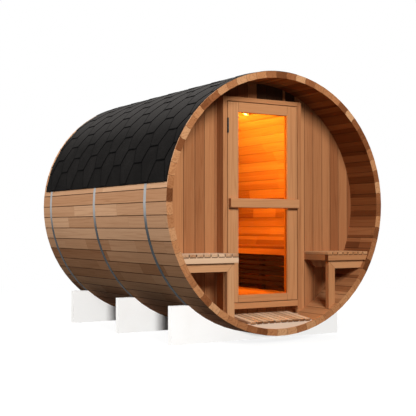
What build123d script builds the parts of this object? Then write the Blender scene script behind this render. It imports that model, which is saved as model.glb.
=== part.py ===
from build123d import *
import math
import os

os.makedirs("parts", exist_ok=True)

# A barrel sauna. Lengths are in millimetres and angles in degrees.
# While it is modelled, the barrel's axis is the Y axis, y is the distance behind the front ring
# and z is the height above the axis. Each piece is moved to its place on the ground when written.

# Barrel
barrel_length = 2100.0
barrel_radius = 900.0
stave_count = 66
stave_thickness = 45.0
stave_joint_gap = 0.4
stave_edge_ease = 1.5
bead_shoulder = 8.0
bead_rise = 3.5
croze_depth = 6.0
croze_clearance = 1.0
ground_clearance = 50.0

# Steel bands
band_width = 34.0
band_thickness = 1.2
band_front_inset = 296.0
band_rear_inset = 160.0
band_middle_shift = -21.0

# Cradles under the bands
cradle_thickness = 45.0
cradle_half_length = 710.0
cradle_height = 260.0
band_slot_clearance = 1.0

# Shingle roof
roof_edge_angle = 8.0
roof_front_inset = 7.0
roof_rear_inset = 45.0
shingle_exposure = 112.0
starter_strip = 34.0
ridge_half_width = 134.0
shingle_low_thickness = 6.5
shingle_high_thickness = 3.0
ridge_cap_thickness = 7.5

# End walls
porch_depth = 285.0
wall_thickness = 40.0
rear_recess = 55.0

# Door leaf, with x measured from the barrel's axis
door_left = -306.0
door_width = 590.0
door_sill_rise = 174.0
door_head_drop = 155.0
leaf_thickness = 40.0
stile_width = 86.0
top_rail_height = 68.0
bottom_rail_height = 50.0
glass_thickness = 8.0
glass_grip = 12.0
glass_setback = 14.0
handle_height = 64.0
handle_middle = 2.0
handle_thickness = 34.0
handle_end_inset = 4.0
handle_rounding = 8.0

# Door frame
frame_projection = 80.0
jamb_width = 34.0
door_gap = 5.0
sill_height = 40.0
head_height = 30.0
jamb_foot = 23.0
stop_depth = 12.0
stop_clearance = 1.0

# Door hinges
hinge_top_inset = 165.0
hinge_bottom_inset = 146.0
hinge_length = 102.0
hinge_radius = 6.0
hinge_pin_radius = 3.0
hinge_bore_clearance = 0.3
hinge_end_gap = 1.0
hinge_plate_thickness = 2.5
hinge_plate_depth = 30.0

# Porch benches
bench_seat_rise = 515.0
bench_slat_thickness = 18.0
bench_slat_gap = 8.0
bench_slat_count = 8
bench_front_inset = 10.0
bench_batten_height = 42.0
bench_batten_depth = 35.0
bench_end_batten = 20.0
bench_rail_setback = 20.0
bench_rail_height = 57.0
bench_rail_depth = 35.0
left_bench_clearance = 3.0
right_bench_clearance = 87.0
bench_wall_gap = 1.0

# Porch duckboard, which slopes down to the front
deck_slat_width = 42.0
deck_slat_gap = 9.0
deck_slat_count = 10
deck_slat_thickness = 15.0
deck_front_inset = 8.0
deck_rear_gap = 4.0
deck_front_rise = 58.0
deck_rear_rise = 88.0
deck_bearer_thickness = 22.0
deck_bearer_inset = 7.0

# Cabin floor
floor_rise = 212.0
floor_board_thickness = 22.0
floor_board_width = 108.0
floor_board_gap = 6.0
floor_board_count = 8
floor_joist_thickness = 38.0
floor_joist_count = 4
floor_end_gap = 2.0

# Cabin bench along the right wall
cabin_bench_clearance = 2.0
cabin_seat_rise = 335.0
cabin_seat_thickness = 20.0
cabin_seat_board = 100.0
cabin_seat_gap = 10.0
cabin_seat_boards = 4
cabin_fascia_height = 45.0
cabin_fascia_thickness = 20.0
skirt_foot_gap = 40.0
skirt_slat_count = 6
skirt_slat_gap = 10.0
skirt_slat_thickness = 15.0
skirt_post_width = 38.0
skirt_post_count = 5

# Cabin lamp, on a stave counted up from the barrel's right side
lamp_stave = 11
lamp_place = 1010.0
lamp_width = 50.0
lamp_length = 50.0
lamp_depth = 20.0
lamp_base_depth = 8.0
lamp_rounding = 12.0
lamp_rim = 3.0

inner_radius = barrel_radius - stave_thickness
axis_height = barrel_radius + ground_clearance
half_stave = 180.0 / stave_count
roof_arc = math.radians(90.0 - roof_edge_angle) * barrel_radius
courses_arc = roof_arc - starter_strip - ridge_half_width
course_count = round(courses_arc / shingle_exposure)
course_height = courses_arc / course_count
lamp_angle = (2 * lamp_stave + 1) * half_stave
band_middle = (band_front_inset + barrel_length - band_rear_inset) / 2 + band_middle_shift
band_places = (band_front_inset, band_middle, barrel_length - band_rear_inset)
front_wall_face = porch_depth
front_wall_back = porch_depth + wall_thickness
rear_wall_back = barrel_length - rear_recess
rear_wall_face = rear_wall_back - wall_thickness
door_right = door_left + door_width
door_bottom = door_sill_rise - inner_radius
door_top = inner_radius - door_head_drop
hinge_places = (door_top - hinge_top_inset, door_bottom + hinge_bottom_inset)
leaf_face = porch_depth - frame_projection
leaf_back = leaf_face + leaf_thickness
stop_run = (leaf_back + stop_clearance, front_wall_back)
jamb_left_in = door_left - door_gap
jamb_right_in = door_right + door_gap
jamb_left_out = jamb_left_in - jamb_width
jamb_right_out = jamb_right_in + jamb_width
sill_top = door_bottom - door_gap
sill_bottom = sill_top - sill_height
head_bottom = door_top + door_gap
head_top = head_bottom + head_height
bench_seat_top = bench_seat_rise - inner_radius
left_bench_end = jamb_left_out - left_bench_clearance
right_bench_end = jamb_right_out + right_bench_clearance
deck_front_top = deck_front_rise - inner_radius
deck_rear_top = deck_rear_rise - inner_radius
floor_top = floor_rise - inner_radius
cabin_bench_edge = jamb_right_out + cabin_bench_clearance
cabin_seat_top = floor_top + cabin_seat_rise
beyond = 2.0 * barrel_radius


def block(x, y, z):
    """A box between two values on each axis."""
    size = [max(span) - min(span) for span in (x, y, z)]
    middle = [(span[0] + span[1]) / 2 for span in (x, y, z)]
    return Pos(*middle) * Box(*size)


def along_barrel(sketch, start, end):
    """Extrude a sketch of the barrel's section from one distance behind the front ring to another."""
    section = Plane((0, start, 0), x_dir=(1, 0, 0), z_dir=(0, -1, 0))
    return extrude(section * sketch, amount=start - end)


def many_sided(radius):
    """The barrel's section at one radius, with a flat side for each stave."""
    return RegularPolygon(radius, stave_count, major_radius=False)


def fit_inside(piece, start, end):
    """What of a piece lies inside the staves."""
    return piece & along_barrel(many_sided(inner_radius), start, end)


def polar(radius, angle):
    """A point of the barrel's section."""
    return (radius * math.cos(math.radians(angle)), radius * math.sin(math.radians(angle)))


def write(node, *pieces):
    """Move the pieces to their place on the ground and write them as one node."""
    place = Pos(0, -barrel_length / 2, axis_height)
    solids = []
    for piece in pieces:
        solids.extend((place * piece).solids())
    export_step(Compound(children=solids) if len(solids) > 1 else solids[0], f"parts/{node}.step")


def side_line(radius, side, sideways):
    """A point beside a joint: its radius along the joint, and its distance into the next stave."""
    edge = math.radians(side * half_stave)
    return (
        radius * math.cos(edge) - side * sideways * math.sin(edge),
        radius * math.sin(edge) + side * sideways * math.cos(edge),
    )


def stave_section():
    """A stave's section: flat outside and inside, a bead on one edge and a cove on the other."""
    gap = stave_joint_gap / 2
    outer = barrel_radius / math.cos(math.radians(half_stave))
    inner = inner_radius / math.cos(math.radians(half_stave))
    middle = (outer + inner) / 2
    sides = []
    for side, rise in ((1, bead_rise), (-1, -bead_rise)):
        sides.append(
            [
                side_line(outer - stave_edge_ease, side, -gap),
                side_line(outer - bead_shoulder, side, -gap),
                side_line(middle, side, rise - gap),
                side_line(inner + bead_shoulder, side, -gap),
                side_line(inner + stave_edge_ease, side, -gap),
            ]
        )
    bead, cove = sides
    outer_ease = outer * math.sin(math.radians(half_stave)) - stave_edge_ease - gap
    inner_ease = inner * math.sin(math.radians(half_stave)) - stave_edge_ease - gap
    outline = [
        Line((barrel_radius, outer_ease), bead[0]),
        Line(bead[0], bead[1]),
        ThreePointArc(bead[1], bead[2], bead[3]),
        Line(bead[3], bead[4]),
        Line(bead[4], (inner_radius, inner_ease)),
        Line((inner_radius, inner_ease), (inner_radius, -inner_ease)),
        Line((inner_radius, -inner_ease), cove[4]),
        Line(cove[4], cove[3]),
        ThreePointArc(cove[3], cove[2], cove[1]),
        Line(cove[1], cove[0]),
        Line(cove[0], (barrel_radius, -outer_ease)),
        Line((barrel_radius, -outer_ease), (barrel_radius, outer_ease)),
    ]
    return make_face(outline)


def stave():
    """One stave, lying at the barrel's right side, with the two crozes that hold the end walls."""
    body = along_barrel(stave_section(), 0, barrel_length)
    depth = (inner_radius - stave_thickness, inner_radius + croze_depth)
    width = (-stave_thickness, stave_thickness)
    for start in (front_wall_face, rear_wall_face):
        body -= block(depth, (start, start + wall_thickness), width)
    return body


def stave_groups():
    """All the staves, in six named arcs that start at the bottom and go round by the right side."""
    names = ("bottom", "lower_right", "upper_right", "crown", "upper_left", "lower_left")
    master = stave()
    per_group = stave_count // len(names)
    first = round((270.0 - per_group * half_stave) / (2 * half_stave))
    for group, name in enumerate(names):
        last_group = group == len(names) - 1
        count = stave_count - per_group * group if last_group else per_group
        pieces = []
        for index in range(count):
            angle = (2 * (first + per_group * group + index) + 1) * half_stave
            pieces.append(Rot(0, -angle, 0) * master)
        write(f"staves_{name}", *pieces)


def bands():
    """The steel bands, flat on every stave."""
    ring = many_sided(barrel_radius + band_thickness) - many_sided(barrel_radius)
    for name, place in zip(("front", "middle", "rear"), band_places):
        write(f"band_{name}", along_barrel(ring, place - band_width / 2, place + band_width / 2))


def cradles():
    """The saddles that the barrel lies in, each slotted for the band above it."""
    slot_width = band_width + 2 * band_slot_clearance
    slot = many_sided(barrel_radius + band_thickness + band_slot_clearance)
    span = (-cradle_half_length, cradle_half_length)
    for name, place in zip(("front", "middle", "rear"), band_places):
        start = place - cradle_thickness / 2
        end = place + cradle_thickness / 2
        saddle = block(span, (start, end), (-axis_height, cradle_height - axis_height))
        saddle -= along_barrel(many_sided(barrel_radius), start, end)
        saddle -= along_barrel(slot, place - slot_width / 2, place + slot_width / 2)
        write(f"cradle_{name}", saddle)


def shingle_section():
    """One side of the roof: courses that lap like steps, from the eave up to the ridge cap."""
    base = barrel_radius + band_thickness
    foot = roof_edge_angle
    outline = [Line(polar(inner_radius, foot), polar(base + shingle_low_thickness, foot))]
    for course in range(course_count + 1):
        length = starter_strip if course == 0 else course_height
        head = foot + math.degrees(length / barrel_radius)
        low = polar(base + shingle_low_thickness, foot)
        middle = polar(base + (shingle_low_thickness + shingle_high_thickness) / 2, (foot + head) / 2)
        high = polar(base + shingle_high_thickness, head)
        outline.append(ThreePointArc(low, middle, high))
        last = course == course_count
        step = polar(inner_radius if last else base + shingle_low_thickness, head)
        outline.append(Line(high, step))
        foot = head
    outline.append(Line(polar(inner_radius, foot), polar(inner_radius, roof_edge_angle)))
    return make_face(outline) - many_sided(base)


def ridge_section():
    """The cap over the top of the barrel."""
    base = barrel_radius + band_thickness
    reach = math.degrees(ridge_half_width / barrel_radius)
    top = base + ridge_cap_thickness
    outline = [
        Line(polar(inner_radius, 90 - reach), polar(top, 90 - reach)),
        ThreePointArc(polar(top, 90 - reach), polar(top, 90), polar(top, 90 + reach)),
        Line(polar(top, 90 + reach), polar(inner_radius, 90 + reach)),
        Line(polar(inner_radius, 90 + reach), polar(inner_radius, 90 - reach)),
    ]
    return make_face(outline) - many_sided(base)


def roof():
    """The shingled roof, which starts just above the barrel's widest place on each side."""
    ends = (roof_front_inset, barrel_length - roof_rear_inset)
    right = along_barrel(shingle_section(), *ends)
    write("roof_right", right)
    write("roof_left", mirror(right, about=Plane.YZ))
    write("ridge_cap", along_barrel(ridge_section(), *ends))


def end_walls():
    """The walls in the crozes: the front one in four pieces about the door, the rear one whole."""
    disc = many_sided(inner_radius + croze_depth - croze_clearance)
    depth = (front_wall_face, front_wall_back)
    front = along_barrel(disc, *depth)
    whole = (-beyond, beyond)
    doorway = (jamb_left_out, jamb_right_out)
    write("front_wall_left", front & block((-beyond, jamb_left_out), depth, whole))
    write("front_wall_right", front & block((jamb_right_out, beyond), depth, whole))
    write("front_wall_over_door", front & block(doorway, depth, (head_top, beyond)))
    write("front_wall_below_door", front & block(doorway, depth, (-beyond, sill_bottom)))
    write("rear_wall", along_barrel(disc, rear_wall_face, rear_wall_back))


def hinge_mortise(side, height):
    """The space of one hinge plate, let into the leaf's edge on side 1 or the jamb on side -1."""
    edge = door_left if side > 0 else jamb_left_in
    across = (edge, edge + side * hinge_plate_thickness)
    up = (height - hinge_length / 2, height + hinge_length / 2)
    return block(across, (leaf_face, leaf_face + hinge_plate_depth), up)


def door_jamb(inside, outside, hinged):
    """One jamb, with its stop behind the leaf and a foot in front of the wall below the sill."""
    inward = math.copysign(stop_depth, inside - outside)
    jamb = block((inside, outside), (leaf_face, front_wall_back), (sill_bottom, head_top))
    jamb += block(
        (inside, outside), (leaf_face, front_wall_face), (sill_bottom - jamb_foot, sill_bottom)
    )
    jamb += block((inside, inside + inward), stop_run, (sill_top + stop_depth, head_bottom - stop_depth))
    if hinged:
        for height in hinge_places:
            jamb -= hinge_mortise(-1, height)
    return jamb


def door_frame():
    """Jambs, head and sill with stops round the leaf, through the wall and out in front of it."""
    write("door_jamb_left", door_jamb(jamb_left_in, jamb_left_out, True))
    write("door_jamb_right", door_jamb(jamb_right_in, jamb_right_out, False))
    between = (jamb_left_in, jamb_right_in)
    depth = (leaf_face, front_wall_back)
    head = block(between, depth, (head_bottom, head_top))
    write("door_head", head + block(between, stop_run, (head_bottom - stop_depth, head_bottom)))
    sill = block(between, depth, (sill_bottom, sill_top))
    write("door_sill", sill + block(between, stop_run, (sill_top, sill_top + stop_depth)))


def door_leaf():
    """The glazed leaf: two stiles, two rails, the pane in their grooves and the handle bar."""
    depth = (leaf_face, leaf_back)
    height = (door_bottom, door_top)
    glass_left = door_left + stile_width
    glass_right = door_right - stile_width
    glass_bottom = door_bottom + bottom_rail_height
    glass_top = door_top - top_rail_height
    glass_front = leaf_face + glass_setback
    pane = block(
        (glass_left - glass_grip, glass_right + glass_grip),
        (glass_front, glass_front + glass_thickness),
        (glass_bottom - glass_grip, glass_top + glass_grip),
    )
    left_stile = block((door_left, glass_left), depth, height) - pane
    for place in hinge_places:
        left_stile -= hinge_mortise(1, place)
    right_stile = block((glass_right, door_right), depth, height) - pane
    write("door_stiles", left_stile, right_stile)
    top_rail = block((glass_left, glass_right), depth, (glass_top, door_top)) - pane
    bottom_rail = block((glass_left, glass_right), depth, (door_bottom, glass_bottom)) - pane
    write("door_rails", top_rail, bottom_rail)
    write("door_glass", pane)
    bar = block(
        (door_left + handle_end_inset, door_right - handle_end_inset),
        (leaf_face - handle_thickness, leaf_face),
        (handle_middle - handle_height / 2, handle_middle + handle_height / 2),
    )
    front_edges = bar.edges().filter_by(Axis.X).group_by(Axis.Y)[0]
    write("door_handle", fillet(front_edges, handle_rounding))


def hinge_knuckle(side, height, low, high):
    """A knuckle between two levels of a hinge, and the wing that joins it to its plate."""
    edge = door_left if side > 0 else jamb_left_in
    axis = Pos(door_left - door_gap / 2, leaf_face - hinge_radius, height + (low + high) / 2)
    across = (edge, edge + side * hinge_plate_thickness)
    wing = block(across, (leaf_face - hinge_radius, leaf_face), (height + low, height + high))
    return axis * Cylinder(hinge_radius, high - low) + wing


def hinges():
    """Two butt hinges: the outer knuckles and pin stay with the jamb, the middle one turns."""
    third = hinge_length / 3
    middle = third / 2 - hinge_end_gap
    fixed = []
    moving = []
    for height in hinge_places:
        pin_axis = Pos(door_left - door_gap / 2, leaf_face - hinge_radius, height)
        lower = hinge_knuckle(-1, height, -hinge_length / 2, -third / 2)
        upper = hinge_knuckle(-1, height, third / 2, hinge_length / 2)
        pin = pin_axis * Cylinder(hinge_pin_radius, hinge_length)
        fixed.append(lower + pin + upper + hinge_mortise(-1, height))
        bore = pin_axis * Cylinder(hinge_pin_radius + hinge_bore_clearance, hinge_length)
        moving.append(hinge_knuckle(1, height, -middle, middle) - bore + hinge_mortise(1, height))
    write("door_hinges_fixed", *fixed)
    write("door_hinges_moving", *moving)


def bench_slats(end, outward):
    """The seat: slats from front to back, side by side from the open end to the staves."""
    top = (bench_seat_top - bench_slat_thickness, bench_seat_top)
    reach = math.sqrt(inner_radius**2 - top[0] ** 2) - abs(end)
    pitch = (reach + bench_slat_gap) / bench_slat_count
    depth = (bench_front_inset, front_wall_face)
    slats = []
    for index in range(bench_slat_count):
        start = end + outward * pitch * index
        slat = block((start, start + outward * (pitch - bench_slat_gap)), depth, top)
        slats.append(fit_inside(slat, *depth))
    return slats


def porch_bench(name, end, outward):
    """One porch bench, open at the end beside the door and trimmed to the staves outside."""
    depth = (bench_front_inset, front_wall_face)
    write(f"{name}_slats", *bench_slats(end, outward))
    batten_top = bench_seat_top - bench_slat_thickness
    rail_top = batten_top - bench_batten_height
    rail_bottom = rail_top - bench_rail_height
    far = outward * inner_radius
    batten_back = bench_front_inset + bench_batten_depth
    front_batten = block((end, far), (bench_front_inset, batten_back), (rail_top, batten_top))
    end_batten = block(
        (end, end + outward * bench_end_batten), (batten_back, front_wall_face), (rail_top, batten_top)
    )
    write(f"{name}_battens", fit_inside(front_batten, *depth), end_batten)
    corner = end + outward * bench_end_batten
    rail_front = bench_front_inset + bench_rail_setback
    rail_depth = (rail_front, rail_front + bench_rail_depth)
    frame = Polyline(
        (corner, rail_top),
        (far, rail_top),
        (far, rail_bottom),
        (corner + outward * bench_rail_height, rail_bottom),
        (corner + outward * bench_rail_height, -inner_radius),
        (corner, -inner_radius),
        close=True,
    )
    whole = fit_inside(along_barrel(make_face(frame), *rail_depth), *rail_depth)
    mitre = Polyline(
        (corner, rail_top),
        (corner + outward * beyond, rail_top - beyond),
        (corner + outward * beyond, rail_top + 1),
        (corner, rail_top + 1),
        close=True,
    )
    upper = along_barrel(make_face(mitre), *rail_depth)
    ledger_depth = (front_wall_face - bench_rail_depth, front_wall_face)
    ledger = Polyline(
        (corner, rail_top),
        (far, rail_top),
        (far, rail_bottom),
        (corner + outward * bench_rail_height, rail_bottom),
        close=True,
    )
    wall_rail = fit_inside(along_barrel(make_face(ledger), *ledger_depth), *ledger_depth)
    write(f"{name}_frame", whole & upper, whole - upper, wall_rail)


def porch_deck():
    """The sloping duckboard on its front and rear bearers."""
    rise = deck_rear_top - deck_front_top
    front = deck_front_inset
    back = front_wall_face - deck_rear_gap
    profile = Polyline(
        (front, deck_front_top),
        (back, deck_rear_top),
        (back, deck_rear_top - deck_slat_thickness),
        (front, deck_front_top - deck_slat_thickness),
        close=True,
    )
    side = Plane((0, 0, 0), x_dir=(0, 1, 0), z_dir=(1, 0, 0))
    pitch = deck_slat_width + deck_slat_gap
    first = -(deck_slat_count * pitch - deck_slat_gap) / 2
    slats = []
    for index in range(deck_slat_count):
        start = Pos(first + index * pitch, 0, 0)
        slats.append(start * extrude(side * make_face(profile), amount=deck_slat_width))
    write("porch_deck_slats", *slats)
    slope = rise / (back - front)
    for name, start in (
        ("front", front + deck_bearer_inset),
        ("rear", back - deck_bearer_inset - deck_bearer_thickness),
    ):
        end = start + deck_bearer_thickness
        heights = [deck_front_top - deck_slat_thickness + slope * (y - front) for y in (start, end)]
        shape = Polyline((start, heights[0]), (end, heights[1]), (end, -beyond), (start, -beyond), close=True)
        bearer = Pos(-beyond / 2, 0, 0) * extrude(side * make_face(shape), amount=beyond)
        write(f"porch_deck_bearer_{name}", fit_inside(bearer, start, end))


def cabin_floor():
    """Floor boards on joists that are cut to the staves."""
    depth = (front_wall_back + floor_end_gap, rear_wall_face - floor_end_gap)
    under = floor_top - floor_board_thickness
    pitch = floor_board_width + floor_board_gap
    first = -(floor_board_count * pitch - floor_board_gap) / 2
    boards = []
    for index in range(floor_board_count):
        start = first + index * pitch
        boards.append(block((start, start + floor_board_width), depth, (under, floor_top)))
    write("cabin_floor_boards", *boards)
    run = depth[1] - depth[0] - floor_joist_thickness
    joists = []
    for index in range(floor_joist_count):
        start = depth[0] + run * index / (floor_joist_count - 1)
        end = start + floor_joist_thickness
        joists.append(fit_inside(block((-beyond, beyond), (start, end), (-beyond, under)), start, end))
    write("cabin_floor_joists", *joists)


def cabin_bench():
    """The bench along the right wall: seat boards, fascia, and a slatted skirt on posts."""
    depth = (front_wall_back + floor_end_gap, rear_wall_face - floor_end_gap)
    edge = cabin_bench_edge
    under = cabin_seat_top - cabin_seat_thickness
    pitch = cabin_seat_board + cabin_seat_gap
    boards = []
    for index in range(cabin_seat_boards):
        start = edge + pitch * index
        board = block((start, start + cabin_seat_board), depth, (under, cabin_seat_top))
        boards.append(fit_inside(board, *depth))
    write("cabin_bench_seat", *boards)
    fascia_bottom = under - cabin_fascia_height
    fascia = block((edge, edge + cabin_fascia_thickness), depth, (fascia_bottom, under))
    write("cabin_bench_fascia", fascia)
    skirt_bottom = floor_top + skirt_foot_gap
    skirt_pitch = (fascia_bottom - skirt_bottom) / skirt_slat_count
    slats = []
    for index in range(skirt_slat_count):
        low = skirt_bottom + skirt_pitch * index
        across = (edge + cabin_fascia_thickness - skirt_slat_thickness, edge + cabin_fascia_thickness)
        slats.append(block(across, depth, (low, low + skirt_pitch - skirt_slat_gap)))
    write("cabin_bench_skirt", *slats)
    run = depth[1] - depth[0] - skirt_post_width
    posts = []
    bearers = []
    post_back = edge + cabin_fascia_thickness + skirt_post_width
    rail_bottom = under - skirt_post_width
    for index in range(skirt_post_count):
        start = depth[0] + run * index / (skirt_post_count - 1)
        end = start + skirt_post_width
        across = (edge + cabin_fascia_thickness, post_back)
        posts.append(block(across, (start, end), (floor_top, under)))
        bearer = block((post_back, inner_radius), (start, end), (rail_bottom, under))
        bearers.append(fit_inside(bearer, start, end))
    write("cabin_bench_posts", *posts)
    write("cabin_bench_bearers", *bearers)


def cabin_lamp():
    """A lamp along one stave of the ceiling: a flat base and a smaller glass, with rounded corners."""
    seat = Rot(0, 90 - lamp_angle, 0) * Pos(0, lamp_place, inner_radius)
    base = RectangleRounded(lamp_width, lamp_length, lamp_rounding)
    shade = RectangleRounded(
        lamp_width - 2 * lamp_rim, lamp_length - 2 * lamp_rim, lamp_rounding - lamp_rim
    )
    write("cabin_lamp_base", seat * extrude(base, amount=-lamp_base_depth))
    glass = extrude(shade, amount=lamp_base_depth - lamp_depth)
    write("cabin_lamp_glass", seat * Pos(0, 0, -lamp_base_depth) * glass)


stave_groups()
bands()
cradles()
roof()
end_walls()
door_frame()
door_leaf()
hinges()
porch_bench("left_bench", left_bench_end, -1)
porch_bench("right_bench", right_bench_end, 1)
porch_deck()
cabin_floor()
cabin_bench()
cabin_lamp()
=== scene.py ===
import math

import bmesh
import bpy
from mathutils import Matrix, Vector

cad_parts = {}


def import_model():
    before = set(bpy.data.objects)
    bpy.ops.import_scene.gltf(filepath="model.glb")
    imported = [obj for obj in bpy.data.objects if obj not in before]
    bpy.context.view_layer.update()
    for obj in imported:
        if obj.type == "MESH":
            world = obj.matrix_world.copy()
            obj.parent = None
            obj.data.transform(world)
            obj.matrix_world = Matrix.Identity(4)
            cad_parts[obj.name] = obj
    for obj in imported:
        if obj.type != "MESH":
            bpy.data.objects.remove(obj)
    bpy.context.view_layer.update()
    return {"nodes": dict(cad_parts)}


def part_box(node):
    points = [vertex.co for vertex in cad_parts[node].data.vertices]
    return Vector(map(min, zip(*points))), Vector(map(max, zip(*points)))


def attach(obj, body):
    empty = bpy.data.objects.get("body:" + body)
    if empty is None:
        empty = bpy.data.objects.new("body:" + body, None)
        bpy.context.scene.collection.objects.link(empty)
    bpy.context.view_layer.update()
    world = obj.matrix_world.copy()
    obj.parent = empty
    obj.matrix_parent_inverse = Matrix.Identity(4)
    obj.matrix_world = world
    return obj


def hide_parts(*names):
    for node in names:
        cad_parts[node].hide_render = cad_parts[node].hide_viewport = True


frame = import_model()
nodes = frame["nodes"]
scene = bpy.context.scene

# The barrel: its front and its axis are read from the frame
BARREL_RADIUS = 0.9
STAVES = 66
STAVE_THICKNESS = 0.045
BEAD_SHOULDER = 0.008
BEAD_RISE = 0.0035
BAND_THICKNESS = 0.0012
PORCH_REACH = 0.3
shell_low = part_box("staves_bottom")[0]
FRONT = shell_low.y
AXIS = shell_low.z + BARREL_RADIUS
INNER = BARREL_RADIUS - STAVE_THICKNESS
MIDDLE_RADIUS = (BARREL_RADIUS + INNER) / 2
BASE = BARREL_RADIUS + BAND_THICKNESS
PORCH_END = FRONT + PORCH_REACH

# Camera, from the lines of the barrel in the picture
CAMERA_PLACE = (-3.607, -5.948, 0.789)
CAMERA_PITCH = 1.21
CAMERA_YAW = 31.61
CAMERA_LENS = 76.97
CAMERA_SENSOR = 36.0

# Cedar, in linear colour
OUTDOOR_CEDAR = ((0.70, 0.42, 0.25), (0.53, 0.28, 0.148), (0.33, 0.15, 0.07), (0.15, 0.055, 0.024))
PORCH_CEDAR = ((0.64, 0.36, 0.185), (0.52, 0.235, 0.10), (0.29, 0.105, 0.04), (0.085, 0.026, 0.009))
BENCH_CEDAR = ((0.84, 0.62, 0.44), (0.70, 0.46, 0.29), (0.46, 0.23, 0.115), (0.20, 0.08, 0.034))
# The skirt's palette is near-black: painted shade from the bench seat above it.
SHADED_SKIRT_CEDAR = ((0.09, 0.036, 0.014), (0.055, 0.02, 0.007), (0.03, 0.01, 0.0035), (0.015, 0.005, 0.002))
GREY_CEDAR = (0.17, 0.088, 0.046)
TONE_STOPS = (0.0, 0.38, 0.7, 1.0)
SAWN_SHINE = 0.03
STAVE_SHINE = 0.004
FELT_SHINE = 0.02
MEAN_TONE = 0.4
END_FACING = 0.6
SHARP = 0.5

# Painted shade in the seams and gaps between sawn pieces
SEAM = 0.6
GAP_SHADE = 0.62
SHADE_DEPTH = 0.006

# Boards of the end walls, with their joints as x
BOARD_GAP = 0.0012
BOARD_EASE = 0.0024
BOARD_SEAM = 0.42
LEFT_EDGES = (-0.87, -0.782, -0.697, -0.611, -0.521, -0.446, -0.361, -0.30)
RIGHT_EDGES = (0.30, 0.413, 0.493, 0.577, 0.654, 0.733, 0.819, 0.90)
OVER_EDGES = (-0.36, -0.26, -0.172, -0.09, -0.009, 0.072, 0.158, 0.216, 0.242, 0.34)
DARK_OVER_DOOR = ((-0.009, 0.216), (0.242, 0.34))
DARK_TONE = 1.4
REAR_START = -0.93
REAR_PITCH = 0.0895
REAR_BOARDS = 21

# Light and floor
AMBER = (1.0, 0.90, 0.44)
FLOOR_NEAR = 2.5
FLOOR_FAR = 5.0


class Socket:
    """One output socket, with the operators of shader maths."""

    def __init__(self, graph, output):
        self.graph = graph
        self.output = output

    def math(self, operation, *others, clamp=False):
        values = {index + 1: other for index, other in enumerate(others)}
        settings = {"operation": operation, "use_clamp": clamp}
        return self.graph.node("ShaderNodeMath", settings, {0: self, **values})

    def __add__(self, other):
        return self.math("ADD", other)

    def __sub__(self, other):
        return self.math("SUBTRACT", other)

    def __mul__(self, other):
        return self.math("MULTIPLY", other)

    def __truediv__(self, other):
        return self.math("DIVIDE", other)

    def __radd__(self, other):
        return self.math("ADD", other)

    def __rsub__(self, other):
        return self.graph.node("ShaderNodeMath", {"operation": "SUBTRACT"}, {0: other, 1: self})

    def __gt__(self, other):
        return self.math("GREATER_THAN", other)

    def __lt__(self, other):
        return self.math("LESS_THAN", other)

    def floor(self):
        return self.math("FLOOR")

    def fraction(self):
        return self.math("FRACT")

    def absolute(self):
        return self.math("ABSOLUTE")

    def most(self, other):
        return self.math("MAXIMUM", other)

    def clamped(self):
        return self.math("ADD", 0.0, clamp=True)


class Graph:
    """A material and its node tree."""

    def __init__(self, name):
        self.material = bpy.data.materials.new(name)
        self.material.use_nodes = True
        self.tree = self.material.node_tree
        self.tree.nodes.clear()

    def node(self, kind, settings=None, inputs=None, output=0):
        """Add a node: its settings first, then the values or links of its sockets."""
        made = self.tree.nodes.new(kind)
        for key, value in (settings or {}).items():
            setattr(made, key, value)
        for key, value in (inputs or {}).items():
            self.plug(made.inputs[key], value)
        self.last = made
        return Socket(self, made.outputs[output]) if len(made.outputs) else None

    def plug(self, target, value):
        if isinstance(value, Socket):
            self.tree.links.new(value.output, target)
        elif value is not None:
            target.default_value = value

    def mix(self, factor, first, second, blend="MIX"):
        """Mix two colours."""
        settings = {"data_type": "RGBA", "blend_type": blend, "clamp_factor": True}
        inputs = {0: factor, 6: colour(first), 7: colour(second)}
        return self.node("ShaderNodeMix", settings, inputs, 2)

    def ramp(self, value, *stops):
        """Map a value to a colour between stops, each a place and a colour."""
        made = self.node("ShaderNodeValToRGB", inputs={0: value})
        elements = self.last.color_ramp.elements
        while len(elements) < len(stops):
            elements.new(1.0)
        for element, (place, shade) in zip(elements, stops):
            element.position = place
            element.color = colour(shade)
        return made

    def span(self, value, low, high, start=0.0, end=1.0):
        """Map a value from one range to another, clamped and smooth."""
        settings = {"interpolation_type": "SMOOTHSTEP"}
        return self.node("ShaderNodeMapRange", settings, {0: value, 1: low, 2: high, 3: start, 4: end})

    def place(self):
        """The Object coordinates, whole and as three values."""
        whole = self.node("ShaderNodeTexCoord", output=3)
        self.node("ShaderNodeSeparateXYZ", inputs={0: whole})
        return whole, *(Socket(self, self.last.outputs[index]) for index in range(3))

    def vector(self, x, y, z):
        return self.node("ShaderNodeCombineXYZ", inputs={0: x, 1: y, 2: z})

    def noise(self, vector, scale, detail=3.0, roughness=0.5, distortion=0.0):
        inputs = {
            "Vector": vector,
            "Scale": scale,
            "Detail": detail,
            "Roughness": roughness,
            "Distortion": distortion,
        }
        return self.node("ShaderNodeTexNoise", {"noise_dimensions": "3D"}, inputs)

    def chance(self, *values):
        """A random value that is the same wherever the given values are."""
        x, y, z = (tuple(values) + (0.0, 0.0, 0.0))[:3]
        settings = {"noise_dimensions": "3D"}
        return self.node("ShaderNodeTexWhiteNoise", settings, {0: self.vector(x, y, z)})

    def bump(self, height, distance, strength=1.0):
        return self.node(
            "ShaderNodeBump", inputs={"Strength": strength, "Distance": distance, "Height": height}
        )

    def finish(self, **inputs):
        """Close the material with a principled shader."""
        shader = self.node("ShaderNodeBsdfPrincipled")
        for key, value in inputs.items():
            socket = self.last.inputs[key.replace("_", " ")]
            self.plug(socket, colour(value) if isinstance(value, tuple) else value)
        self.node("ShaderNodeOutputMaterial", inputs={0: shader})
        return self.material


def colour(value):
    return (*value, 1.0) if isinstance(value, tuple) and len(value) == 3 else value


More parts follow.
